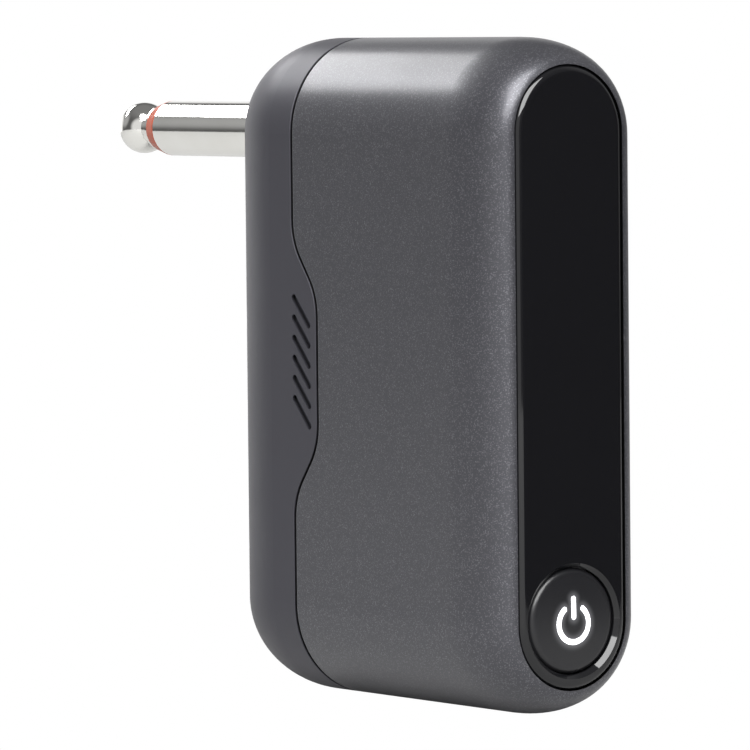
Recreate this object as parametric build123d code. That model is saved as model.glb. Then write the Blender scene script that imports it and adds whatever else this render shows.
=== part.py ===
from build123d import *
from math import sqrt
import os

# Wireless guitar transmitter: a slim upright body that hangs from its own 6.35 mm jack plug.
#
# Frame, in millimetres: the origin is the centre of the plug's shoulder, +Y runs along the plug
# towards its tip, +Z is up, and the glossy front panel looks along -Y. The body is a rounded
# slab: every section across Y is a stadium, with one round end about the plug and one about
# the power button.

# ---------------------------------------------------------------- body, overall
body_width = 21.1
body_height = 73.15
crest = 10.4                    # top of the body above the plug's axis
front_face = -54.5
rear_face = -3.4
front_round_across = 3.35       # the front edge is a quarter ellipse: this much across,
front_round_deep = 8.3          # and this much along Y
rear_round_across = 6.5
rear_round_deep = 10.4
wall = 1.6
rear_wall = 2.0

# ---------------------------------------------------------------- parting line of the two shells
parting = -18.0                 # the gap's middle, away from the bulge
parting_gap = 0.32
bulge_depth = 4.5               # how far the rear cover reaches forward at mid-height
bulge_ramp_middle = 11.25       # from mid-height to the middle of each ramp
bulge_ramp_rise = 5.9           # height over which each ramp climbs
bulge_blend = 7.0
parting_round = 0.25            # of the front shell's edge at the gap
parting_chamfer = 0.06          # of the rear cover's edge there
lip_length = 1.5
lip_thickness = 0.7
lip_clearance = 0.08

# ---------------------------------------------------------------- grip grooves of the rear cover
groove_count = 6
groove_pitch = 2.23
groove_run = 2.7                # each groove's extent along Y
groove_drop = 2.95              # and down Z
groove_width = 0.78
groove_depth = 0.4
groove_from_parting = 1.5       # from the parting line's bulge to the grooves' front ends
groove_rise = 0.9               # the group's middle above mid-height

# ---------------------------------------------------------------- front panel
panel_side_margin = 3.35        # from the flank to the panel's long edge
panel_top_margin = 3.0
panel_bottom_margin = 3.1
panel_thickness = 1.3
panel_edge_round = 0.9
panel_clearance = 0.08
adhesive_thickness = 0.15
adhesive_margin = 0.2
recess_depth = 1.2
recess_chamfer = 0.2
front_wall = 2.6                # behind the panel's recess

# ---------------------------------------------------------------- power button
button_rim = 0.95               # from the panel's edge to the dished ring round the button
button_clearance = 0.08
button_travel = 0.3
button_below_panel = 0.3
button_crown = 0.3
button_edge_round = 0.85
button_skin = 0.75
button_wall = 0.85
button_rise = 0.25              # above the centre of the panel's lower round end
button_flange_reach = 0.78      # the hidden flange beyond the cap
button_flange_thickness = 0.6
button_play = 0.03              # between the flange and the panel that stops it
panel_dish_width = 0.45         # the dished ring round the button
panel_dish_depth = 0.45
pocket_clearance = 0.25         # round the flange
pocket_depth = 1.5
stem_radius = 1.3
stem_clearance = 0.08
stop_ring_thickness = 0.55
stop_ring_width = 1.5

# ---------------------------------------------------------------- power symbol, a light guide
symbol_radius = 1.99
symbol_stroke = 0.61
symbol_gap_angle = 76
symbol_drop = 0.25              # below the cap's centre
symbol_bar_low = 0.42
symbol_bar_high = 2.98
guide_clearance = 0.17          # inside the cap's wall
guide_thickness = 0.6
window_radius = 0.9

# ---------------------------------------------------------------- jack plug
plug_radius = 3.175
sleeve_length = 20.2
insulator_length = 1.95
ring_land = 0.2                 # the insulator's straight part beside the sleeve
collar_step = 0.1               # of the tip's collar below the insulator's end
collar_length = 0.5
insulator_taper = 0.425         # the insulator's front end is this much smaller than the sleeve
ball_undersize = 0.205          # and the ball this much smaller
neck_depth = 0.97               # of the neck below the ball
ball_centre = 26.5
nose_radius = 1.2
nose_end = 30.3
rod_radius = 1.15
sleeve_wall = 0.875
plug_fit = 0.02                 # radial room between the plug's nested pieces
flange_reach = 1.225            # beyond the sleeve
flange_thickness = 1.2
flange_chamfer = 0.3
boss_spread = 1.2               # of the boss's base beyond the flange
shank_wall = 0.7
shank_length = 9.0
seat_reach = 0.4                # of the seat beyond the boss's base
seat_thickness = 1.0
washer_reach = 1.9              # beyond the shank
washer_thickness = 0.4
lug_reach = 1.4                 # beyond the shank
lug_thickness = 0.3
lug_tail_width = 1.8
lug_tail_reach = 7.6
nut_wall = 1.0                  # thinnest, at the middle of a flat
nut_thickness = 2.2
core_overhang = 0.8             # the core insulator beyond the shank
rod_overhang = 2.0              # the tip's rod beyond the core insulator
tip_lug_radius = 2.1
tip_lug_reach = 4.0
lead_from_lug_end = 0.8
lead_pad_room = 2.0             # from a lead's pad to the board's rear edge

# ---------------------------------------------------------------- main board and what it carries
board_thickness = 1.0
board_front_room = 1.1          # from the front wall's inner face
board_rear_room = 8.5           # from the rod of the plug's tip
board_top_room = 3.8            # from the body's crest
board_bottom_room = 3.35        # from the body's lowest point
board_corner = 4.0
switch_depth = 3.5
switch_length = 4.7
switch_height = 3.2
plunger_width = 1.8
plunger_height = 1.4
plunger_out = 0.9
plunger_clearance = 0.05
led_gap = 0.25                  # between the switch and each light
led_length = 1.6
led_depth = 0.9
led_height = 1.1
usb_from_parting = 15.0
usb_width = 8.94
usb_height = 3.2
usb_length = 7.3
usb_shell = 0.31
usb_floor = 0.93
usb_below_surface = 0.35
usb_hole_clearance = 0.14
tongue_width = 6.69
tongue_thickness = 0.7
tongue_short = 0.6
board_screw_from_edge = 3.2     # of the front pair, from the board's front edge
board_screw_from_rear = 2.6
board_screw_from_top = 2.4      # of the upper pair, from the frame's top
board_screw_from_bottom = 4.0
chip_height = 0.9
shield_height = 2.2
shield_wall = 0.2
shield_size = (13.0, 15.0)      # along Y and Z
shield_place = (10.6, 14.6)     # from the board's front edge and down from its top
chips = (                       # place as above, then size along Y and Z
    (shield_place, (6.0, 6.0)),
    ((13.6, 27.1), (5.0, 5.0)),
    ((6.6, 26.6), (4.0, 3.0)),
    ((14.1, 34.1), (3.0, 5.0)),
    ((6.6, 32.1), (3.2, 2.5)),
)
antenna_place = (13.6, 2.6)
antenna_size = (7.0, 1.6)
antenna_height = 1.0
connector_drop = 26.6           # from the board's top to the battery connector's middle
connector_size = (4.0, 5.0)
connector_height = 3.0

# ---------------------------------------------------------------- inner frame and battery
board_post_height = 0.8         # between the frame plate and the board
fit_room = 0.3                  # of the frame and the board inside the shells
frame_thickness = 1.0
frame_front_room = 0.1
frame_top_room = 4.9            # from the body's crest
frame_bottom_room = 12.75       # from its lowest point
rear_post_length = 5.4          # from the rear wall to the frame
rear_post_radius = 2.2
rear_pilot_length = 4.5
frame_tab_thickness = 1.2
frame_tab_half_height = 3.0
frame_tab_reach = 1.5
post_radius = 1.5
case_post_radius = 1.9
case_post_length = 3.8
case_pilot_length = 3.2
battery_post_gap = 0.3
battery_rear_room = 2.5         # from the board's rear edge
battery_top_room = 5.0          # from the frame's top
battery_bottom_room = 4.5       # from the frame's bottom
battery_round_share = 0.4       # of the battery's thickness
battery_frame_gap = 0.2
foam_room = 0.1
foam_thickness = 0.25
foam_margins = (3.0, 4.0, 6.0, 8.0)     # from the battery's front, rear, bottom and top
lead_radius = 0.4
lead_bend = 1.1
lead_spread = 1.0               # of each battery lead from the middle of the pair
lead_turn = 2.0                 # behind the board's rear edge
window_front = 0.5              # the leads' window in the frame, from the board's rear edge
window_rear = 4.5
window_half_height = 2.5

# ---------------------------------------------------------------- screws
screw_radius = 0.8
screw_hole_clearance = 0.12
screw_thread_room = 0.02
head_radius = 1.5
head_height = 0.9
head_clearance = 0.12
cross_width = 0.36
cross_reach = 0.9
cross_depth = 0.5
head_round = 0.3
case_screw_length = 4.5
frame_screw_length = 5.0
board_screw_room = 0.4          # between a board screw's end and the frame's far face
screw_end_room = 0.1            # past a board screw's end
case_screw_margin = 0.1         # from the screw head's seat to the panel's edge
upper_case_screw_drop = 2.0     # below the upper round end's centre
lower_case_screw_rise = 8.0     # above the lower round end's centre
frame_screw_from_plate = 2.2
upper_frame_screw_drop = 6.6    # below the end of the ground lug's tail
lower_frame_screw_rise = 7.8    # above the frame's bottom

# ---------------------------------------------------------------- places worked out from the sizes
half_width = body_width / 2
top_centre = crest - half_width                     # the upper round end's centre
foot = crest - body_height                          # the body's lowest point
bottom_centre = foot + half_width                   # the lower round end's centre
middle = (top_centre + bottom_centre) / 2
recess_floor = front_face + recess_depth
panel_half_width = half_width - panel_side_margin
panel_back = recess_floor - adhesive_thickness
panel_face = panel_back - panel_thickness
wall_inside = recess_floor + front_wall             # the front wall's inner face
pocket_floor = recess_floor + pocket_depth
panel_top = crest - panel_top_margin
panel_bottom = foot + panel_bottom_margin
dish_radius = panel_half_width - button_rim
button_hole_radius = dish_radius - panel_dish_width
button_radius = button_hole_radius - button_clearance
button_flange_radius = button_radius + button_flange_reach
pocket_radius = button_flange_radius + pocket_clearance
guide_radius = button_radius - button_wall - guide_clearance
button_height = panel_bottom + panel_half_width + button_rise
cap_edge = panel_face + button_below_panel
skin_back = cap_edge + button_skin
flange_front = panel_back + button_play
plunger_tip = wall_inside + board_front_room + plunger_clearance - plunger_out
board_front = wall_inside + board_front_room
board_bottom = foot + board_bottom_room
board_top = crest - board_top_room
board_face = -usb_height / 2                        # the plunger and the socket are centred on X = 0
stem_end = plunger_tip - plunger_clearance
neck_radius = plug_radius - ball_undersize - neck_depth
ball_radius = plug_radius - ball_undersize
insulator_end_radius = plug_radius - insulator_taper
sleeve_bore = plug_radius - sleeve_wall
shank_radius = sleeve_bore + shank_wall
flange_radius = plug_radius + flange_reach
boss_base_radius = flange_radius + boss_spread
seat_radius = boss_base_radius + seat_reach
flange_seat = -flange_thickness
rear_inside = rear_face - rear_wall
seat_face = rear_inside - seat_thickness
washer_face = seat_face - washer_thickness
lug_face = washer_face - lug_thickness
nut_face = lug_face - nut_thickness
shank_end = flange_seat - shank_length
core_end = shank_end - core_overhang
rod_end = core_end - rod_overhang
board_rear = rod_end - board_rear_room
frame_face = board_face - board_thickness - board_post_height
frame_back = frame_face - frame_thickness
frame_rear = rear_inside - rear_post_length
frame_top = crest - frame_top_room
frame_bottom = foot + frame_bottom_room
frame_front = wall_inside + frame_front_room
battery_face = frame_back - battery_frame_gap
battery_outer = foam_room + foam_thickness + wall - half_width
battery_rear = board_rear - battery_rear_room
battery_front = frame_front + case_post_length + battery_post_gap
battery_top = frame_top - battery_top_room
battery_bottom = frame_bottom + battery_bottom_room
usb_middle = parting - usb_from_parting
usb_mouth = foot + usb_below_surface
led_spacing = switch_length + led_length + 2 * led_gap
connector_middle = board_top - connector_drop
lead_pad = board_rear - lead_pad_room
switch_front = board_front + plunger_clearance


# ---------------------------------------------------------------- shared shapes
def tube(radius, start, end, x=0, z=0, bore=0):
    """A cylinder along Y from start to end, with a bore if one is given."""
    section = Circle(radius)
    if bore:
        section -= Circle(bore)
    return extrude(Plane.XZ.offset(-end) * Pos(x, z) * section, end - start)


def box(x, y, z):
    """A block between two limits on each axis."""
    size = (x[1] - x[0], y[1] - y[0], z[1] - z[0])
    return Pos((x[0] + x[1]) / 2, (y[0] + y[1]) / 2, (z[0] + z[1]) / 2) * Box(*size)


def turned(points, z=0):
    """A solid turned about the Y axis from its outline, given as radius and Y."""
    outline = make_face(Polyline(*points, close=True))
    return Pos(0, 0, z) * revolve(outline, Axis.Y)


def upright_slot(half, low, high, start, end):
    """A stadium of a given half width, from Z low to Z high, as a plate between two Y."""
    slot = SlotOverall(high - low, 2 * half, rotation=90)
    return extrude(Plane.XZ.offset(-end) * Pos(0, (low + high) / 2) * slot, end - start)


def section_radius(point):
    """How far a point is from the middle line of the stadium section."""
    above = max(point.Z - top_centre, bottom_centre - point.Z, 0)
    return sqrt(point.X ** 2 + above ** 2)


def body_outline(inset, front_inset, rear_inset):
    """One half of the body's outline, seen from above, moved inwards by the insets."""
    half = half_width - inset
    front = front_face + front_inset
    rear = rear_face - rear_inset
    front_across = front_round_across - inset
    front_deep = front_round_deep - front_inset
    rear_across = rear_round_across - inset
    rear_deep = rear_round_deep - rear_inset
    front_middle = (half - front_across, front + front_deep)
    rear_middle = (half - rear_across, rear - rear_deep)
    edges = Curve() + [
        Line((0, front), (half - front_across, front)),
        EllipticalCenterArc(front_middle, front_across, front_deep, start_angle=270, arc_size=90),
        Line((half, front + front_deep), (half, rear - rear_deep)),
        EllipticalCenterArc(rear_middle, rear_across, rear_deep, start_angle=0, arc_size=90),
        Line((half - rear_across, rear), (0, rear)),
        Line((0, rear), (0, front)),
    ]
    return make_face(edges)


def body_form(inset=0, front_inset=0, rear_inset=0):
    """The body's rounded stadium form: two half turns and the straight stretch between."""
    outline = body_outline(inset, front_inset, rear_inset)
    half_turn = revolve(outline, Axis.Y, 180)
    if half_turn.center().Z < 0:
        half_turn = Rot(0, 180, 0) * half_turn
    straight = extrude(outline + mirror(outline, Plane.YZ), top_centre - bottom_centre)
    upper = Pos(0, 0, top_centre) * half_turn
    lower = Pos(0, 0, bottom_centre) * Rot(0, 180, 0) * half_turn
    return upper + Pos(0, 0, bottom_centre) * straight + lower


def cavity():
    """The hollow inside both shells."""
    return body_form(wall, wall_inside - front_face, rear_wall)


def fit_envelope():
    """The cavity less the room that the frame and the board leave inside the shells."""
    return body_form(wall + fit_room, wall_inside - front_face, rear_wall + fit_room)


def behind_parting(shift):
    """Everything behind the parting line once it is moved along Y by shift."""
    straight = parting + shift
    bulged = straight - bulge_depth
    far = body_height
    low_ramp = middle - bulge_ramp_middle
    high_ramp = middle + bulge_ramp_middle
    half_rise = bulge_ramp_rise / 2
    line = FilletPolyline(
        (straight, middle - far),
        (straight, low_ramp - half_rise),
        (bulged, low_ramp + half_rise),
        (bulged, high_ramp - half_rise),
        (straight, high_ramp + half_rise),
        (straight, middle + far),
        radius=bulge_blend,
    )
    back = Polyline(
        (straight, middle + far),
        (straight + far, middle + far),
        (straight + far, middle - far),
        (straight, middle - far),
    )
    return extrude(Plane.YZ * make_face(line + back), body_width, both=True)


def screw(length):
    """A pan-head screw along -Y from its head's bearing face at the origin, with a cross slot."""
    head = tube(head_radius, -head_height, 0)
    head = fillet(head.edges().group_by(Axis.Y)[0], head_round)
    half = cross_width / 2
    slot = box((-cross_reach, cross_reach), (-head_height, cross_depth - head_height), (-half, half))
    return head + tube(screw_radius, 0, length) - slot - Rot(0, 90, 0) * slot


def wire(points):
    """A lead along straight runs joined by arcs."""
    path = FilletPolyline(*points, radius=lead_bend)
    return sweep(Plane(path @ 0, z_dir=path % 0) * Circle(lead_radius), path)


# ---------------------------------------------------------------- places of the screws
case_screw_x = head_radius + head_clearance + case_screw_margin - panel_half_width
case_screw_heights = (top_centre - upper_case_screw_drop, bottom_centre + lower_case_screw_rise)
frame_screw_x = frame_face + frame_screw_from_plate
frame_screw_heights = (-lug_tail_reach - upper_frame_screw_drop, frame_bottom + lower_frame_screw_rise)
board_screw_places = [
    (y, z)
    for y in (board_front + board_screw_from_edge, board_rear - board_screw_from_rear)
    for z in (frame_top - board_screw_from_top, frame_bottom + board_screw_from_bottom)
]


# ---------------------------------------------------------------- the two shells
def front_shell():
    shell = body_form() - cavity() - behind_parting(-parting_gap / 2)
    outer_lip = [
        edge for edge in shell.edges()
        if section_radius(edge @ 0.5) > half_width - 0.05
        and (edge @ 0.5).Y > parting - bulge_depth - parting_gap
        and abs(edge.tangent_at(0.5).Y) < 0.95
    ]
    shell = fillet(outer_lip, parting_round)
    recess_half = panel_half_width + panel_clearance
    recess = upright_slot(recess_half, panel_bottom - panel_clearance, panel_top + panel_clearance,
                          front_face, recess_floor)
    shell -= recess
    rim = shell.faces().filter_by(Plane.XZ).group_by(Axis.Y)[0].edges()
    inner_rim = [edge for edge in rim if section_radius(edge @ 0.5) < recess_half + 0.5]
    shell = chamfer(inner_rim, recess_chamfer)
    shell -= tube(pocket_radius, recess_floor, pocket_floor, z=button_height)
    shell -= tube(stem_radius + stem_clearance, pocket_floor, wall_inside, z=button_height)
    for side in (-1, 1):
        window_height = button_height + side * led_spacing / 2
        shell -= tube(window_radius, pocket_floor, wall_inside, board_face + led_height / 2, window_height)
    for height in case_screw_heights:
        shell -= tube(head_radius + head_clearance, recess_floor, recess_floor + head_height + head_clearance,
                      case_screw_x, height)
        shell -= tube(screw_radius + screw_hole_clearance, recess_floor, wall_inside, case_screw_x, height)
    mouth = SlotOverall(usb_width + 2 * usb_hole_clearance, usb_height + 2 * usb_hole_clearance, rotation=90)
    shell -= extrude(Pos(0, usb_middle, foot - wall) * mouth, 3 * wall)
    return shell


def grip_grooves():
    """Cutters for the slanted grooves of one flank, each centred on X = 0."""
    length = sqrt(groove_run ** 2 + groove_drop ** 2)
    front_end = parting - bulge_depth + groove_from_parting
    tilt = Vector(groove_run, groove_drop, 0).get_angle(Vector(1, 0, 0))
    cutters = []
    for index in range(groove_count):
        height = middle + groove_rise + (index - (groove_count - 1) / 2) * groove_pitch
        slot = SlotCenterToCenter(length, groove_width, rotation=tilt)
        middle_place = Pos(front_end + groove_run / 2, height)
        cutters.append(extrude(Plane.YZ * middle_place * slot, groove_depth, both=True))
    return cutters


def rear_cover():
    cover = (body_form() - cavity()) & behind_parting(parting_gap / 2)
    outer_lip = [
        edge for edge in cover.edges()
        if section_radius(edge @ 0.5) > half_width - 0.05
        and (edge @ 0.5).Y < parting + parting_gap
        and abs(edge.tangent_at(0.5).Y) < 0.95
    ]
    cover = chamfer(outer_lip, parting_chamfer)
    lip_outer = wall + lip_clearance
    lip_inner = lip_outer + lip_thickness
    front_inset = wall_inside - front_face
    band = body_form(lip_outer, front_inset, rear_wall) - body_form(lip_inner, front_inset, rear_wall)
    root = body_form(wall, front_inset, rear_wall) - body_form(lip_inner, front_inset, rear_wall)
    cover += (band & behind_parting(-lip_length)) - behind_parting(lip_length)
    cover += (root & behind_parting(parting_gap / 2 + parting_round)) - behind_parting(lip_length)
    cover += turned([(0, rear_inside), (boss_base_radius, rear_inside), (boss_base_radius, rear_face),
                     (flange_radius, flange_seat), (0, flange_seat)])
    cover += tube(seat_radius, seat_face, rear_inside)
    cover -= tube(seat_radius, nut_face, seat_face)
    for height in frame_screw_heights:
        pilot_end = frame_rear + rear_pilot_length
        post = tube(rear_post_radius, frame_rear, rear_face - rear_wall / 2, frame_screw_x, height)
        cover += post - tube(screw_radius + screw_thread_room, frame_rear, pilot_end, frame_screw_x, height)
    cover -= tube(shank_radius + plug_fit, seat_face, flange_seat)
    for cutter in grip_grooves():
        cover -= Pos(half_width, 0, 0) * cutter
        cover -= Pos(-half_width, 0, 0) * cutter
    return cover


# ---------------------------------------------------------------- front panel
def front_panel():
    plate = upright_slot(panel_half_width, panel_bottom, panel_top, panel_face, panel_back)
    plate = fillet(plate.edges().group_by(Axis.Y)[0], panel_edge_round)
    plate -= turned([(0, panel_face - 1), (dish_radius, panel_face - 1), (dish_radius, panel_face),
                     (button_hole_radius, panel_face + panel_dish_depth), (button_hole_radius, panel_back + 1),
                     (0, panel_back + 1)], button_height)
    return plate


def panel_adhesive():
    sheet = upright_slot(panel_half_width - adhesive_margin, panel_bottom + adhesive_margin,
                         panel_top - adhesive_margin, panel_back, recess_floor)
    return sheet - tube(pocket_radius, panel_back, recess_floor, z=button_height)


# ---------------------------------------------------------------- power button
def cap_envelope():
    """The cap without its symbol: a crowned disc that slides in the panel's hole."""
    crown_sphere = (button_radius ** 2 + button_crown ** 2) / (2 * button_crown)
    centre = cap_edge - button_crown + crown_sphere
    disc = tube(button_radius, cap_edge - button_crown, flange_front)
    disc = disc & Pos(0, centre, 0) * Sphere(crown_sphere)
    rim = disc.edges().filter_by(GeomType.CIRCLE).group_by(Axis.Y)[0]
    return Pos(0, 0, button_height) * fillet(rim, button_edge_round)


def symbol_prism():
    """The power symbol's broken ring and bar, cut through the cap's skin."""
    ring = Circle(symbol_radius + symbol_stroke / 2) - Circle(symbol_radius - symbol_stroke / 2)
    reach = Vector(0, 3 * symbol_radius)
    left = reach.rotate(Axis.Z, symbol_gap_angle / 2)
    right = reach.rotate(Axis.Z, -symbol_gap_angle / 2)
    wedge = make_face(Polyline((0, 0), left, right, close=True))
    round_ends = [Pos(*(end / 3)) * Circle(symbol_stroke / 2) for end in (left, right)]
    bar_length = symbol_bar_high - symbol_bar_low
    bar_middle = (symbol_bar_high + symbol_bar_low) / 2
    bar = Pos(0, bar_middle) * SlotOverall(bar_length, symbol_stroke, rotation=90)
    symbol = (ring - wedge) + bar + round_ends
    place = Plane.XZ.offset(-skin_back) * Pos(0, button_height - symbol_drop)
    return extrude(place * symbol, button_skin + 1)


def power_button():
    flange_back = flange_front + button_flange_thickness
    cap = cap_envelope() + tube(button_flange_radius, flange_front, flange_back, z=button_height)
    cap -= tube(button_radius - button_wall, skin_back, flange_back, z=button_height)
    cap -= symbol_prism()
    return cap + tube(stem_radius, skin_back, stem_end, z=button_height)


def power_icon():
    disc = tube(guide_radius, skin_back, skin_back + guide_thickness, z=button_height,
                bore=stem_radius + stem_clearance)
    return disc + (symbol_prism() & cap_envelope())


def button_stop_ring():
    return tube(button_flange_radius, pocket_floor - stop_ring_thickness, pocket_floor, z=button_height,
                bore=button_flange_radius - stop_ring_width)


# ---------------------------------------------------------------- switch, lights and board
def power_switch():
    top = board_face + switch_height
    case = box((board_face, top), (switch_front, switch_front + switch_depth),
               (button_height - switch_length / 2, button_height + switch_length / 2))
    half_high = plunger_height / 2 + plunger_clearance
    half_wide = plunger_width / 2 + plunger_clearance
    room = plunger_out + 2 * button_travel
    return case - box((-half_high, half_high), (switch_front, switch_front + room),
                      (button_height - half_wide, button_height + half_wide))


def switch_plunger():
    return box((-plunger_height / 2, plunger_height / 2),
               (plunger_tip, switch_front + plunger_out),
               (button_height - plunger_width / 2, button_height + plunger_width / 2))


def indicator_leds():
    leds = []
    for side in (-1, 1):
        height = button_height + side * led_spacing / 2
        leds.append(box((board_face, board_face + led_height), (board_front, board_front + led_depth),
                        (height - led_length / 2, height + led_length / 2)))
    return Compound(leds)


def main_board():
    width = board_rear - board_front
    height = board_top - board_bottom
    outline = RectangleRounded(width, height, board_corner)
    centre = Pos((board_rear + board_front) / 2, (board_top + board_bottom) / 2)
    board = extrude(Plane.YZ.offset(board_face - board_thickness) * centre * outline, board_thickness)
    for y, z in board_screw_places:
        hole = Circle(screw_radius + screw_hole_clearance)
        board -= extrude(Plane.YZ.offset(board_face - board_thickness) * Pos(y, z) * hole, board_thickness)
    for height in case_screw_heights:
        board -= tube(case_post_radius + fit_room, board_front, frame_front + case_post_length + fit_room,
                      case_screw_x, height)
    return board & fit_envelope()


def on_board(place, size, rise):
    """A block on the board's face: its middle's place on the board, its size along Y and Z, its rise."""
    y = board_front + place[0]
    z = board_top - place[1]
    return box((board_face, board_face + rise), (y - size[0] / 2, y + size[0] / 2),
               (z - size[1] / 2, z + size[1] / 2))


def rf_shield():
    can = on_board(shield_place, shield_size, shield_height)
    inside = [size - 2 * shield_wall for size in shield_size]
    return can - on_board(shield_place, inside, shield_height - shield_wall)


def board_chips():
    return Compound([on_board(place, size, chip_height) for place, size in chips])


def chip_antenna():
    return on_board(antenna_place, antenna_size, antenna_height)


def usb_socket():
    outer = SlotOverall(usb_width, usb_height, rotation=90)
    inner = SlotOverall(usb_width - 2 * usb_shell, usb_height - 2 * usb_shell, rotation=90)
    case = extrude(Pos(0, usb_middle, usb_mouth) * outer, usb_length)
    return case - extrude(Pos(0, usb_middle, usb_mouth) * inner, usb_length - usb_floor)


def usb_tongue():
    start = usb_mouth + tongue_short
    return box((-tongue_thickness / 2, tongue_thickness / 2),
               (usb_middle - tongue_width / 2, usb_middle + tongue_width / 2),
               (start, usb_mouth + usb_length - usb_floor))


# ---------------------------------------------------------------- inner frame and battery
def frame_plate():
    plate = box((frame_back, frame_face), (frame_front, frame_rear), (frame_bottom, frame_top))
    plate = fillet(plate.edges().filter_by(Axis.X), board_corner / 2)
    window = box((frame_back, frame_face), (board_rear - window_front, board_rear + window_rear),
                 (connector_middle - window_half_height, connector_middle + window_half_height))
    return (plate & fit_envelope()) - window


def case_post(height):
    """A post at the frame's front edge for a screw through the front wall, with a web to the plate."""
    end = frame_front + case_post_length
    half = case_post_radius
    web = box((case_screw_x, frame_face), (frame_front, end), (height - half, height + half))
    return tube(case_post_radius, frame_front, end, case_screw_x, height) + web


def frame_tab(height):
    """A tab at the frame's rear edge for a screw into a post of the rear cover."""
    return box((frame_back, frame_screw_x + frame_tab_reach), (frame_rear - frame_tab_thickness, frame_rear),
               (height - frame_tab_half_height, height + frame_tab_half_height))


def inner_frame():
    frame = frame_plate()
    for height in case_screw_heights:
        frame += case_post(height)
        frame -= tube(screw_radius + screw_thread_room, frame_front, frame_front + case_pilot_length,
                      case_screw_x, height)
    for height in frame_screw_heights:
        frame += frame_tab(height)
        frame -= tube(screw_radius + screw_hole_clearance, frame_rear - frame_tab_thickness, frame_rear,
                      frame_screw_x, height)
    for y, z in board_screw_places:
        post = Plane.YZ.offset(frame_face) * Pos(y, z) * Circle(post_radius)
        frame += extrude(post, board_post_height)
        bore = Plane.YZ.offset(frame_back + board_screw_room - screw_end_room) * Pos(y, z)
        frame -= extrude(bore * Circle(screw_radius + screw_thread_room), board_face - frame_back)
    return frame


def battery():
    cell = box((battery_outer, battery_face), (battery_front, battery_rear), (battery_bottom, battery_top))
    return fillet(cell.edges().filter_by(Axis.Z), battery_round_share * (battery_face - battery_outer))


def battery_foam():
    front, rear, bottom, top = foam_margins
    return box((battery_outer - foam_thickness, battery_outer), (battery_front + front, battery_rear - rear),
               (battery_bottom + bottom, battery_top - top))


def battery_connector():
    from_front = lead_pad - connector_size[0] / 2 - board_front
    return on_board((from_front, connector_drop), connector_size, connector_height)


def battery_leads():
    """Two leads from the battery's rear edge, through the frame's window, to the connector."""
    cell_middle = (battery_face + battery_outer) / 2
    turn = board_rear + lead_turn
    leads = []
    for side in (-1, 1):
        z = connector_middle + side * lead_spread
        leads.append(wire([(cell_middle, battery_rear, z), (cell_middle, turn, z),
                           (0, turn, z), (0, lead_pad, z)]))
    return Compound(leads)


# ---------------------------------------------------------------- jack plug
def plug_sleeve():
    profile = [
        (sleeve_bore, shank_end), (shank_radius, shank_end), (shank_radius, flange_seat),
        (flange_radius - flange_chamfer, flange_seat), (flange_radius, flange_seat + flange_chamfer),
        (flange_radius, -flange_chamfer), (flange_radius - flange_chamfer, 0),
        (plug_radius, 0), (plug_radius, sleeve_length), (sleeve_bore, sleeve_length),
    ]
    return turned(profile)


def plug_core_insulator():
    return tube(sleeve_bore - plug_fit, core_end, sleeve_length, bore=rod_radius + plug_fit)


def plug_ring():
    end = sleeve_length + insulator_length
    bore = rod_radius + plug_fit
    land = sleeve_length + ring_land
    return turned([(bore, sleeve_length), (plug_radius, sleeve_length), (plug_radius, land),
                   (insulator_end_radius, end), (bore, end)])


def plug_tip():
    """The tip contact: a ball with a neck behind it and a flat nose, on a long rod."""
    start = sleeve_length + insulator_length
    ball = Pos(0, ball_centre, 0) * Sphere(ball_radius)
    neck = tube(neck_radius, start, ball_centre)
    collar = tube(insulator_end_radius - collar_step, start, start + collar_length)
    nose = turned([(0, ball_centre), (ball_radius * 0.8, ball_centre + ball_radius * 0.6),
                   (nose_radius, nose_end), (0, nose_end)])
    rod = tube(rod_radius, rod_end, ball_centre)
    return ball + neck + collar + nose + rod


def plug_washer():
    return tube(shank_radius + washer_reach, washer_face, seat_face, bore=shank_radius + plug_fit)


def sleeve_lug():
    ring = tube(shank_radius + lug_reach, lug_face, washer_face)
    half = lug_tail_width / 2
    tail = box((-half, half), (lug_face, washer_face), (-lug_tail_reach, 0))
    return ring + tail - tube(shank_radius + plug_fit, lug_face, washer_face)


def plug_nut():
    hexagon = RegularPolygon(shank_radius + nut_wall, 6, major_radius=False) - Circle(shank_radius + plug_fit)
    return extrude(Plane.XZ.offset(-lug_face) * hexagon, nut_thickness)


def tip_lug():
    front = core_end - lug_thickness
    half = lug_tail_width / 2
    tail = box((-half, half), (front, core_end), (-tip_lug_reach, 0))
    return tube(tip_lug_radius, front, core_end) + tail - tube(rod_radius + plug_fit, front, core_end)


def lead_to_board(start, z):
    """A lead from a plug's lug to its pad on the board."""
    return wire([(0, start, z), (0, lead_pad, z), (board_face, lead_pad, z)])


def tip_lead():
    return lead_to_board(core_end - lug_thickness, lead_from_lug_end - tip_lug_reach)


def ground_lead():
    return lead_to_board(lug_face, lead_from_lug_end - lug_tail_reach)


# ---------------------------------------------------------------- screws
def case_screws():
    bearing = recess_floor + head_height + head_clearance / 2
    placed = [Pos(case_screw_x, bearing, height) for height in case_screw_heights]
    return Compound([place * screw(case_screw_length) for place in placed])


def frame_screws():
    bearing = frame_rear - frame_tab_thickness
    placed = [Pos(frame_screw_x, bearing, height) for height in frame_screw_heights]
    return Compound([place * screw(frame_screw_length) for place in placed])


def board_screws():
    turned_in = Rot(0, 0, 90) * screw(board_face - frame_back - board_screw_room)
    return Compound([Pos(board_face, y, z) * turned_in for y, z in board_screw_places])


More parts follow.
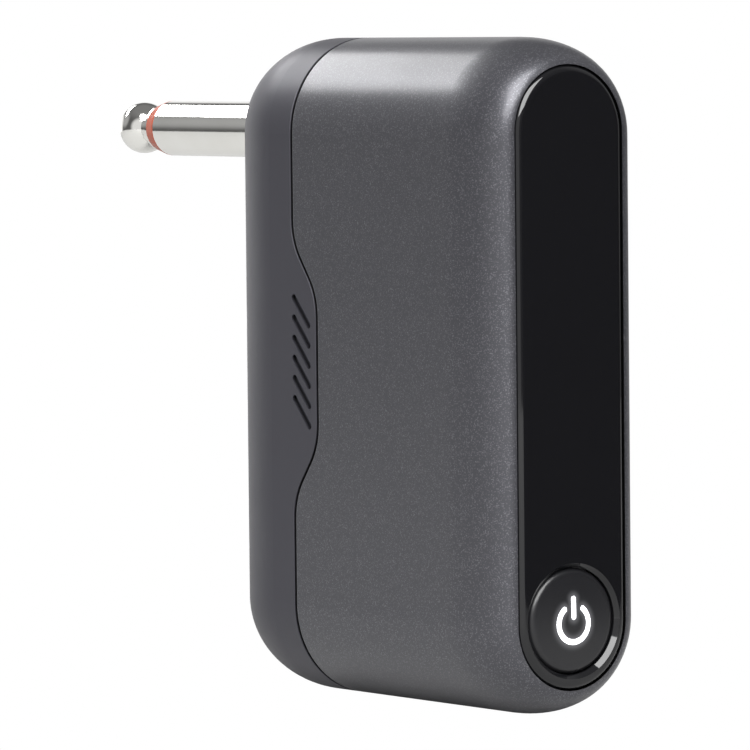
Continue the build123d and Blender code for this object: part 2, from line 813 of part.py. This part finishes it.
nodes = {
    "front_shell": front_shell,
    "rear_cover": rear_cover,
    "front_panel": front_panel,
    "panel_adhesive": panel_adhesive,
    "power_button": power_button,
    "power_icon": power_icon,
    "button_stop_ring": button_stop_ring,
    "power_switch": power_switch,
    "switch_plunger": switch_plunger,
    "indicator_leds": indicator_leds,
    "main_board": main_board,
    "rf_shield": rf_shield,
    "board_chips": board_chips,
    "chip_antenna": chip_antenna,
    "usb_socket": usb_socket,
    "usb_tongue": usb_tongue,
    "inner_frame": inner_frame,
    "battery": battery,
    "battery_foam": battery_foam,
    "battery_connector": battery_connector,
    "battery_leads": battery_leads,
    "plug_sleeve": plug_sleeve,
    "plug_core_insulator": plug_core_insulator,
    "plug_ring": plug_ring,
    "plug_tip": plug_tip,
    "plug_washer": plug_washer,
    "sleeve_lug": sleeve_lug,
    "plug_nut": plug_nut,
    "tip_lug": tip_lug,
    "tip_lead": tip_lead,
    "ground_lead": ground_lead,
    "case_screws": case_screws,
    "frame_screws": frame_screws,
    "board_screws": board_screws,
}

os.makedirs("parts", exist_ok=True)
for node, make in nodes.items():
    export_step(make(), f"parts/{node}.step")
    print(node)
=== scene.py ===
# %% [markdown]
# # A wireless guitar transmitter
# The transmitter hangs from a guitar by its own jack plug. Its working shape comes from a CAD
# model, so this lesson never moves a part. It loads that model as a fixed frame and then does
# the work that Blender is good at: finishes, fine surface detail, light and a camera.

# %% Load the frame
import math

import bmesh
import bpy
from mathutils import Matrix, Vector


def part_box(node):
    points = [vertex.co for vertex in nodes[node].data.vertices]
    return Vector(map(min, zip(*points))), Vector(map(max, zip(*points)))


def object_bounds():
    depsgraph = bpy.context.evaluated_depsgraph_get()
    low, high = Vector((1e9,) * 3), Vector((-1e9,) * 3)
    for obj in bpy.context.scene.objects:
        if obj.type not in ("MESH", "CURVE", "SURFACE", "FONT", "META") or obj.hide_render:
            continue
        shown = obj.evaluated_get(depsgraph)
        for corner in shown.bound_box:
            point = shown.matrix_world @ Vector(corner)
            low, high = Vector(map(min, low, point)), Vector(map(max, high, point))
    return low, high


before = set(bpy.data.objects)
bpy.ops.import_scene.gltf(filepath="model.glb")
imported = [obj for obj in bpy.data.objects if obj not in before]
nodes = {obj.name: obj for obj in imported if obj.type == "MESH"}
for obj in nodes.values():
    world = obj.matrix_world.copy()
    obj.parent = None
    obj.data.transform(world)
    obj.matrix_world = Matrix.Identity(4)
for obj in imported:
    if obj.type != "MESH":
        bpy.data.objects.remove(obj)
cad_low, cad_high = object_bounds()
millimetre = 0.001
print("pieces in the frame:", len(nodes))
print("size in mm:", [round(side / millimetre, 2) for side in cad_high - cad_low])

# %% [markdown]
# ## Shader maths as plain Python
# A finish is a small graph of nodes. Wiring nodes one by one hides the idea, so a socket is
# wrapped in a class whose operators add Math nodes. Then `1 - wear * 0.3` reads as what it is.
# Everything that isn't arithmetic goes through `node`, which takes the node's type, its
# settings and what goes into its sockets.


# %% The socket class
class Socket:
    """An output of a shader node. Arithmetic on it adds Math nodes to the same material."""

    def __init__(self, tree, output):
        self.tree = tree
        self.output = output

    def node(self, kind, settings, sockets, out=0):
        """Adds a node: its settings are set first, then each socket gets a value or a link."""
        made = self.tree.nodes.new("ShaderNode" + kind)
        for name, value in settings.items():
            setattr(made, name, value)
        for name, value in sockets.items():
            if isinstance(value, Socket):
                self.tree.links.new(value.output, made.inputs[name])
            else:
                made.inputs[name].default_value = value
        return Socket(self.tree, made.outputs[out] if made.outputs else None)

    def maths(self, operation, *values):
        """One Math node, for the operators below and for roots, sizes and comparisons."""
        return self.node("Math", {"operation": operation}, dict(enumerate(values)))

    def __add__(self, other):
        return self.maths("ADD", self, other)

    def __radd__(self, other):
        return self.maths("ADD", other, self)

    def __sub__(self, other):
        return self.maths("SUBTRACT", self, other)

    def __rsub__(self, other):
        return self.maths("SUBTRACT", other, self)

    def __mul__(self, other):
        return self.maths("MULTIPLY", self, other)

    def __rmul__(self, other):
        return self.maths("MULTIPLY", other, self)

    def __truediv__(self, other):
        return self.maths("DIVIDE", self, other)

    def __rtruediv__(self, other):
        return self.maths("DIVIDE", other, self)

    def root(self):
        return self.maths("SQRT", self)

    def size(self):
        """The value without its sign."""
        return self.maths("ABSOLUTE", self)

    def ramp(self, low, high, start=0.0, end=1.0):
        """A smooth step: start below low, end above high."""
        return self.node("MapRange", {"interpolation_type": "SMOOTHSTEP"}, {
            "Value": self, "From Min": low, "From Max": high, "To Min": start, "To Max": end})

    def between(self, first, second):
        """A colour that goes from first to second as this value goes from 0 to 1."""
        mix_factor, colour_a, colour_b = 0, 6, 7
        sockets = {mix_factor: self, colour_a: rgba(first), colour_b: rgba(second)}
        return self.node("Mix", {"data_type": "RGBA"}, sockets, out=2)


def rgba(colour):
    """A colour socket as it is, or three numbers with full opacity added."""
    return colour if isinstance(colour, Socket) else (*colour, 1.0)


print("a socket offers:", [name for name in vars(Socket) if not name.startswith("_")])

# %% [markdown]
# ## Grain at its real size
# The model is in metres, so object coordinates are real lengths. A texture's scale is then one
# over the size of its features: paint flake about a tenth of a millimetre across needs a scale
# of ten thousand.


# %% Textures in real units
def new_material(name):
    """An empty node material and the place of each point on the surface, in metres."""
    material = bpy.data.materials.new(name)
    material.use_nodes = True
    material.node_tree.nodes.clear()
    source = material.node_tree.nodes.new("ShaderNodeTexCoord")
    return material, Socket(material.node_tree, source.outputs["Object"])


def noise(place, size, detail=3.0, rough=0.5):
    """Soft noise whose features are about size metres across."""
    return place.node("TexNoise", {}, {
        "Vector": place, "Scale": 1 / size, "Detail": detail, "Roughness": rough})


def cells(place, size, out=0, feature="F1"):
    """Voronoi cells about size metres across: 0 is the distance, 1 a random colour per cell."""
    return place.node("TexVoronoi", {"feature": feature}, {"Vector": place, "Scale": 1 / size}, out)


def stretched(place, factors):
    """The same place with each axis scaled, so that noise on it becomes streaks."""
    return place.node("Mapping", {}, {"Vector": place, "Scale": factors})


def split(vector):
    """The three components of a vector."""
    parts = vector.node("SeparateXYZ", {}, {0: vector}).output.node.outputs
    return [Socket(vector.tree, part) for part in parts]


def bump(height, depth):
    """Turns a height from 0 to 1 into a normal, as relief depth metres deep."""
    return height.node("Bump", {}, {"Height": height, "Distance": depth, "Strength": 1.0})


print("flake 0.1 mm across needs a scale of", round(1 / (0.1 * millimetre)))

# %% [markdown]
# ## Painted shade in recesses
# Light hardly reaches the bottom of a narrow groove, so shade is painted into the colour there. The
# ambient occlusion node measures how open each point is. Its reach is kept close to a groove's
# width, so only grooves and gaps are painted darker and broad curves stay as they are.


# %% Openness for painted shade, and the end of a material
def openness_for_painted_shade(place):
    """1 on an open surface, falling to 0 down in grooves, where shade is painted into the colour.
    """
    reach = 0.6 * millimetre
    seen = place.node("AmbientOcclusion", {"samples": 8}, {"Distance": reach}, out=1)
    return seen.ramp(0.35, 0.95)


def shaded(material, place, **inputs):
    """Closes a material: one Principled shader with the named inputs, and the output."""
    sockets = {name.replace("_", " ").title(): value for name, value in inputs.items()}
    if "Specular Level" in sockets:
        sockets["Specular IOR Level"] = sockets.pop("Specular Level")
    surface = place.node("BsdfPrincipled", {}, sockets)
    place.node("OutputMaterial", {}, {"Surface": surface})
    return material


print("openness is 0 below 0.35 and 1 above 0.95 of a clear view")

# %% [markdown]
# ## The front shell's lacquer
# A dark grey metallic lacquer: fine aluminium flake under a satin clear coat. The flakes differ
# in brightness, and the surface over them is very slightly uneven, so it sparkles faintly.
# Voronoi cells give one random colour per flake, and fine noise gives the relief.


# %% Lacquer with flake
lacquer_grey = (0.062, 0.062, 0.071)
flake_grey = (0.135, 0.135, 0.15)


def lacquer():
    material, place = new_material("shell_lacquer")
    flake = cells(place, 0.1 * millimetre, out=1)
    flake_level = flake.node("SeparateColor", {}, {0: flake})
    sparkle = flake_level.ramp(0.72, 1.0)
    handling = noise(place, 9 * millimetre, detail=5)
    # Painted shade: in grooves and gaps the base colour runs to almost black.
    base = openness_for_painted_shade(place).between((0.003, 0.003, 0.003), sparkle.between(lacquer_grey, flake_grey))
    relief = noise(place, 0.09 * millimetre, detail=2)
    return shaded(
        material, place, base_color=base, metallic=0.55, normal=bump(relief, 0.0016 * millimetre),
        roughness=0.34 + 0.06 * handling + 0.05 * flake_level,
        coat_weight=0.25, coat_roughness=0.2)


finishes = {"front_shell": lacquer()}
print("lacquer nodes:", len(finishes["front_shell"].node_tree.nodes))

# %% [markdown]
# ## The rear cover's soft coating
# The cover wears a paint of the same family without flake. It is nearly matt, with a very fine,
# even grain, and it picks up a faint polish where hands rub it.


# %% Soft-touch coating
def soft_coating():
    material, place = new_material("cover_coating")
    grain = noise(place, 0.12 * millimetre, detail=3, rough=0.6)
    rubbed = noise(place, 14 * millimetre, detail=4).ramp(0.45, 0.75)
    paint = grain.between((0.038, 0.037, 0.047), (0.055, 0.054, 0.067))
    # Painted shade: in the grooves and the parting gap the base colour runs to almost black.
    return shaded(
        material, place, base_color=openness_for_painted_shade(place).between((0.002, 0.002, 0.002), paint),
        normal=bump(grain, 0.002 * millimetre), metallic=0.5,
        roughness=0.5 - 0.05 * rubbed, specular_level=0.5,
        coat_weight=0.15, coat_roughness=0.3)


finishes["rear_cover"] = soft_coating()
print("coating nodes:", len(finishes["rear_cover"].node_tree.nodes))

# %% [markdown]
# ## The glossy front panel
# Piano black acrylic: almost no colour of its own, so its look is its reflections. Faint wipe
# marks and a little dust in the roughness keep it from looking like a hole.


# %% Piano black
def piano_black():
    material, place = new_material("panel_piano_black")
    wipes = noise(stretched(place, (1, 1, 0.25)), 3 * millimetre, detail=6).ramp(0.5, 0.8)
    dust = cells(place, 0.9 * millimetre).ramp(0.0, 0.05, 1.0, 0.0)
    return shaded(
        material, place, base_color=dust.between((0.0065, 0.0065, 0.0075), (0.02, 0.02, 0.02)),
        roughness=0.035 + 0.05 * wipes + 0.2 * dust, specular_level=0.5)


finishes["front_panel"] = piano_black()
print("panel nodes:", len(finishes["front_panel"].node_tree.nodes))

# %% [markdown]
# ## The button's cap and its lit symbol
# The cap is satin black plastic. The symbol is a clear light guide, lit from behind, and a
# little of its light bleeds into the plastic round it. That halo falls off with the distance to
# the symbol's ring and bar. The distance to the ring is the radius less the ring's own radius,
# except in the ring's gap, where the nearest point is one of the ring's two ends.

# %% Where the symbol lies on the cap
cap_low, cap_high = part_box("power_button")
symbol_drop = 0.25 * millimetre
cap_centre = (cap_low + cap_high) / 2 - Vector((0, 0, symbol_drop))
ring_radius = 1.99 * millimetre
ring_end_angle = math.radians(38)
gap_slope = math.tan(math.radians(36))
bar_low = 0.72 * millimetre
bar_high = 2.68 * millimetre
print("symbol centre in mm:", [round(value / millimetre, 2) for value in cap_centre])


# %% [markdown]
# The symbol is the same on the left and on the right, so the sideways distance loses its sign
# first and one ring end stands for both.


# %% Distance to the symbol
def symbol_distance(place):
    """How far a point of the cap is from the middle of the symbol's strokes, in metres."""
    offset = place.node("VectorMath", {"operation": "SUBTRACT"}, {0: place, 1: cap_centre})
    across, _, up = split(offset)
    side = across.size()
    ring = ((across * across + up * up).root() - ring_radius).size()
    end_side = side - ring_radius * math.sin(ring_end_angle)
    end_up = up - ring_radius * math.cos(ring_end_angle)
    ring_end = (end_side * end_side + end_up * end_up).root()
    in_gap = place.maths("GREATER_THAN", up * gap_slope - side, 0.0)
    ring = ring + in_gap * (ring_end - ring)
    past_bar = place.maths("MAXIMUM", place.maths("MAXIMUM", up - bar_high, bar_low - up), 0.0)
    bar = (across * across + past_bar * past_bar).root()
    return place.maths("MINIMUM", ring, bar)


def cap_plastic():
    material, place = new_material("cap_plastic")
    grain = noise(place, 0.15 * millimetre, detail=3)
    halo = symbol_distance(place).ramp(0.3 * millimetre, 1.3 * millimetre, 1.0, 0.0)
    return shaded(
        material, place, base_color=grain.between((0.008, 0.008, 0.009), (0.013, 0.013, 0.015)),
        roughness=0.26 + 0.08 * grain, normal=bump(grain, 0.0015 * millimetre),
        emission_color=(halo * halo).between((0, 0, 0), (0.1, 0.1, 0.105)), emission_strength=1.0)


def light_guide():
    material, place = new_material("symbol_light_guide")
    haze = noise(place, 0.8 * millimetre, detail=3)
    return shaded(
        material, place, base_color=(0.8, 0.82, 0.85, 1), roughness=0.3 + 0.1 * haze,
        emission_color=haze.between((0.93, 0.95, 1.0), (1.0, 1.0, 1.0)), emission_strength=1.6)


finishes["power_button"] = cap_plastic()
finishes["power_icon"] = light_guide()
print("cap nodes:", len(finishes["power_button"].node_tree.nodes))

# %% [markdown]
# ## Nickel plate and the orange insulator
# The plug is turned brass with polished nickel plate. Turning and plugging leave hair lines
# round it, so the noise is stretched along the other two axes. The insulator is moulded nylon
# with a satin skin.


# %% Nickel and insulator
def nickel():
    material, place = new_material("plug_nickel")
    hair = noise(stretched(place, (0.05, 1, 0.05)), 0.05 * millimetre, detail=4)
    stains = noise(place, 4 * millimetre, detail=4)
    return shaded(
        material, place, base_color=stains.between((0.8, 0.79, 0.75), (0.9, 0.895, 0.87)),
        metallic=1.0, roughness=0.05 + 0.05 * hair + 0.04 * stains,
        normal=bump(hair, 0.0003 * millimetre))


def insulator_nylon():
    material, place = new_material("insulator_nylon")
    mottle = noise(place, 0.5 * millimetre, detail=4)
    return shaded(
        material, place, base_color=mottle.between((0.36, 0.05, 0.015), (0.44, 0.08, 0.03)),
        roughness=0.3 + 0.12 * mottle, specular_level=0.35,
        normal=bump(mottle, 0.003 * millimetre))


finishes["plug_sleeve"] = finishes["plug_tip"] = nickel()
finishes["plug_ring"] = insulator_nylon()
print("finishes so far:", sorted(finishes))

# %% [markdown]
# ## Inside pieces
# Nobody sees these with the case shut, but the part comes apart on a bench, so each has a
# finish. One function makes a finish from a colour pair, a grain size and a gloss, and a table
# says which pieces share one.


# %% A simple grained finish
def grained(name, dark, light, size, roughness, metallic=0.0, relief=0.002):
    """A finish that runs from dark to light in grain of this size, with relief, in mm."""
    material, place = new_material(name)
    grain = noise(place, size * millimetre, detail=4)
    return shaded(
        material, place, base_color=grain.between(dark, light), metallic=metallic,
        roughness=roughness + 0.1 * grain, normal=bump(grain, relief * millimetre))


def solder_mask():
    """Green mask over copper: tracks show as slightly raised, lighter lines."""
    material, place = new_material("board_solder_mask")
    tracks = cells(place, 1.4 * millimetre, feature="DISTANCE_TO_EDGE")
    line = tracks.ramp(0.02, 0.06, 1.0, 0.0)
    return shaded(
        material, place, base_color=line.between((0.006, 0.045, 0.02), (0.015, 0.09, 0.035)),
        roughness=0.3 + 0.1 * line, normal=bump(line, 0.02 * millimetre))


inside = [
    (grained("blackened_steel", (0.1, 0.1, 0.1), (0.2, 0.2, 0.2), 0.2, 0.35, 1.0),
     ["plug_washer", "case_screws", "frame_screws", "board_screws"]),
    (grained("tinned_brass", (0.45, 0.4, 0.27), (0.66, 0.6, 0.42), 0.3, 0.3, 1.0),
     ["plug_nut", "sleeve_lug", "tip_lug"]),
    (grained("moulded_black", (0.015, 0.015, 0.015), (0.03, 0.03, 0.03), 0.15, 0.5),
     ["ground_lead", "board_chips", "power_switch", "usb_tongue"]),
    (grained("white_nylon", (0.68, 0.67, 0.62), (0.8, 0.79, 0.75), 0.4, 0.45),
     ["plug_core_insulator", "battery_connector", "switch_plunger"]),
    (grained("red_silicone", (0.35, 0.01, 0.01), (0.5, 0.02, 0.02), 0.3, 0.4),
     ["tip_lead", "battery_leads"]),
    (grained("closed_cell_foam", (0.01, 0.01, 0.01), (0.04, 0.04, 0.04), 0.25, 0.85, relief=0.05),
     ["battery_foam", "button_stop_ring"]),
    (grained("battery_foil", (0.45, 0.45, 0.47), (0.62, 0.62, 0.64), 1.5, 0.35, 0.8, 0.02),
     ["battery"]),
    (grained("shield_tin", (0.55, 0.55, 0.53), (0.7, 0.7, 0.68), 0.6, 0.3, 1.0), ["rf_shield"]),
    (grained("antenna_ceramic", (0.6, 0.59, 0.55), (0.75, 0.74, 0.7), 0.3, 0.5), ["chip_antenna"]),
    (grained("led_resin", (0.8, 0.72, 0.35), (0.9, 0.85, 0.55), 0.3, 0.2), ["indicator_leds"]),
    (grained("usb_steel", (0.5, 0.5, 0.51), (0.65, 0.65, 0.66), 0.2, 0.28, 1.0), ["usb_socket"]),
    (grained("frame_nylon", (0.06, 0.06, 0.065), (0.1, 0.1, 0.11), 0.3, 0.6, relief=0.01),
     ["inner_frame"]),
    (grained("tape", (0.6, 0.57, 0.45), (0.75, 0.72, 0.6), 0.5, 0.7), ["panel_adhesive"]),
    (solder_mask(), ["main_board"]),
]
for finish, pieces in inside:
    finishes.update(dict.fromkeys(pieces, finish))
for name, finish in finishes.items():
    nodes[name].data.materials.clear()
    nodes[name].data.materials.append(finish)
print("finishes:", len(finishes), "nodes without one:", sorted(set(nodes) - set(finishes)))

# %% [markdown]
# ## The studio
# A glossy object is a picture of its room, so the room is designed. Seen from the front left,
# the rounded flank and the plug mirror what stands behind them and to the left. A soft box
# there, 28 to 37 degrees high, draws the long highlight along the upper edge. The room is
# bright straight behind the object and to the left, and dim elsewhere, and a pale floor lights
# the object from beneath. To the camera itself the room is plain white, which the Light Path
# node tells apart.

# %% Bright patches of the room
room_patches = {  # turn, rise, inner angle and outer angle in degrees, then brightness
    "backdrop": (40, 0, 18, 30, 0.62),
    "low_back": (10, -4, 12, 26, 0.55),
    "overhead": (0, 90, 25, 60, 0.1),
    "back_left": (-40, 20, 6, 24, 0.3),
    "low_left": (-8, 2, 8, 24, 0.9),
    "left_wall": (-120, 4, 26, 46, 0.7),
    "right_wall": (95, 25, 10, 40, 0.25),
    "back_right": (26, 12, 7, 17, 0.25),
}
room_level = 0.11
print("bright patches:", len(room_patches))


# %% [markdown]
# A patch is full within its inner angle of a direction and fades out at its outer angle. The
# direction's turn runs from +Y towards +X, and its rise from the horizon. The dot product of two
# directions is the cosine of the angle between them, so one smooth step draws each patch.


# %% The world
def patch_level(way, turn, rise, inner, outer, brightness):
    """The light that one patch adds in a direction."""
    turn, rise, inner, outer = map(math.radians, (turn, rise, inner, outer))
    level = math.cos(rise)
    towards = (math.sin(turn) * level, math.cos(turn) * level, math.sin(rise))
    lined_up = way.node("VectorMath", {"operation": "DOT_PRODUCT"}, {0: way, 1: towards}, out=1)
    return brightness * lined_up.ramp(math.cos(outer), math.cos(inner))


def studio_world():
    world = bpy.data.worlds.new("studio")
    world.use_nodes = True
    world.node_tree.nodes.clear()
    source = world.node_tree.nodes.new("ShaderNodeTexCoord")
    way = Socket(world.node_tree, source.outputs["Generated"])
    level = room_level
    for patch in room_patches.values():
        level = level + patch_level(way, *patch)
    camera_ray = way.node("LightPath", {}, {})
    shown = camera_ray * (1 - level) + level
    colour = shown.node("CombineColor", {}, {0: shown, 1: shown, 2: shown})
    background = colour.node("Background", {}, {"Color": colour, "Strength": 1.0})
    background.node("OutputWorld", {}, {"Surface": background})
    return world


bpy.context.scene.world = studio_world()
print("world nodes:", len(bpy.context.scene.world.node_tree.nodes))

# %% [markdown]
# ## Floor and dark card
# The floor is a pale round sheet just under the object. It lights the underside, and it is plain
# white to the camera. The dark card stands in front on the right, where the flat panel mirrors
# it, so the panel stays black. It isn't visible to the camera.

# %% Flat sheets
body_middle = (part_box("front_shell")[0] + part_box("rear_cover")[1]) / 2
floor_radius = 0.6
floor_gap = 2 * millimetre


def staged(sheet, name, material):
    """Turns the sheet into an object that lights and mirrors but isn't part of the model."""
    mesh = bpy.data.meshes.new(name)
    sheet.to_mesh(mesh)
    sheet.free()
    mesh.materials.append(material)
    piece = bpy.data.objects.new(name, mesh)
    bpy.context.scene.collection.objects.link(piece)
    return piece


def floor_paint():
    material, place = new_material("pale_floor")
    mottle = noise(place, 0.3, detail=2)
    painted = place.node("BsdfPrincipled", {}, {
        "Base Color": mottle.between((0.51, 0.51, 0.505), (0.55, 0.55, 0.545)),
        "Roughness": 0.9, "Specular IOR Level": 0.1})
    plain_white = place.node("Emission", {}, {"Color": (1, 1, 1, 1), "Strength": 1.0})
    camera_ray = place.node("LightPath", {}, {})
    surface = place.node("MixShader", {}, {0: camera_ray, 1: painted, 2: plain_white})
    place.node("OutputMaterial", {}, {"Surface": surface})
    return material


sheet = bmesh.new()
bmesh.ops.create_circle(sheet, cap_ends=True, segments=96, radius=floor_radius)
bmesh.ops.translate(sheet, verts=sheet.verts, vec=(0, body_middle.y, cad_low.z - floor_gap))
staged(sheet, "floor", floor_paint())
print("floor height in mm:", round((cad_low.z - floor_gap) / millimetre, 2))

# %% [markdown]
# The card faces along the direction in which the panel mirrors the camera's view.


# %% The dark card
def card_cloth():
    material, place = new_material("black_card")
    weave = noise(place, 1 * millimetre, detail=2)
    return shaded(
        material, place, base_color=weave.between((0.008, 0.008, 0.008), (0.012, 0.012, 0.012)),
        roughness=0.9, specular_level=0.0)


card_side = 0.2
card_distance = 0.15
card_way = Vector((0.587, -0.807, -0.06)).normalized()
panel_middle = Vector((0, cad_low.y, (cad_low.z + cad_high.z) / 2))
card_place = Matrix.Translation(panel_middle + card_way * card_distance)
card_turn = card_way.to_track_quat("Z", "Y").to_matrix().to_4x4()
card_scale = Matrix.Diagonal((card_side, card_side, 1, 1))
sheet = bmesh.new()
bmesh.ops.create_grid(
    sheet, x_segments=4, y_segments=4, size=0.5, matrix=card_place @ card_turn @ card_scale)
staged(sheet, "dark_card", card_cloth()).visible_camera = False
print("card middle in m:", [round(value, 3) for value in card_place.translation])

# %% [markdown]
# ## Lights
# Two soft boxes. The key box stands behind and above, and the rounded top mirrors it as the long
# highlight. The front box, high at the front left, draws the bright arc beside the button.


# %% Soft boxes
def soft_light(name, offset, size, power):
    """A rectangle of light that faces the body's middle, offset metres away from it."""
    light = bpy.data.lights.new(name, "AREA")
    light.shape = "RECTANGLE"
    light.size, light.size_y = size
    light.energy = power
    holder = bpy.data.objects.new(name, light)
    holder.location = body_middle + Vector(offset)
    holder.rotation_mode = "QUATERNION"
    holder.rotation_quaternion = (-Vector(offset)).to_track_quat("-Z", "Y")
    holder.visible_camera = False
    bpy.context.scene.collection.objects.link(holder)


soft_light("key_box", offset=(-0.08, 1.0, 0.645), size=(0.74, 0.18), power=5.0)
soft_light("front_box", offset=(-0.42, -0.72, 0.8), size=(0.9, 0.95), power=28)
print("lights:", [light.name for light in bpy.data.lights])

# %% [markdown]
# ## The camera
# A long lens about 0.7 m away, low and from the front left, keeps the upright lines upright.
# The camera's axes are built from its azimuth and elevation and then rolled by half a degree.

# %% Camera
azimuth = math.radians(-36.0)
elevation = math.radians(3.25)
roll = math.radians(-0.56)
distance = 0.704
aim = Vector((0.0011, -0.0174, -0.0273))
level = math.cos(elevation)
back = Vector((math.sin(azimuth) * level, -math.cos(azimuth) * level, math.sin(elevation)))
level_right = Vector((math.cos(azimuth), math.sin(azimuth), 0))
level_up = back.cross(level_right)
right = level_right * math.cos(roll) + level_up * math.sin(roll)
up = level_up * math.cos(roll) - level_right * math.sin(roll)
axes = Matrix((right, up, back)).transposed().to_4x4()
camera_data = bpy.data.cameras.new("camera")
camera_data.sensor_width = 36
camera_data.lens = 302.1
camera = bpy.data.objects.new("camera", camera_data)
camera.matrix_world = Matrix.Translation(aim + back * distance) @ axes
bpy.context.scene.collection.objects.link(camera)
bpy.context.scene.camera = camera
bpy.context.scene.view_settings.view_transform = "Standard"
print("camera at:", [round(value, 3) for value in camera.matrix_world.translation])

# %% [markdown]
# ## The end
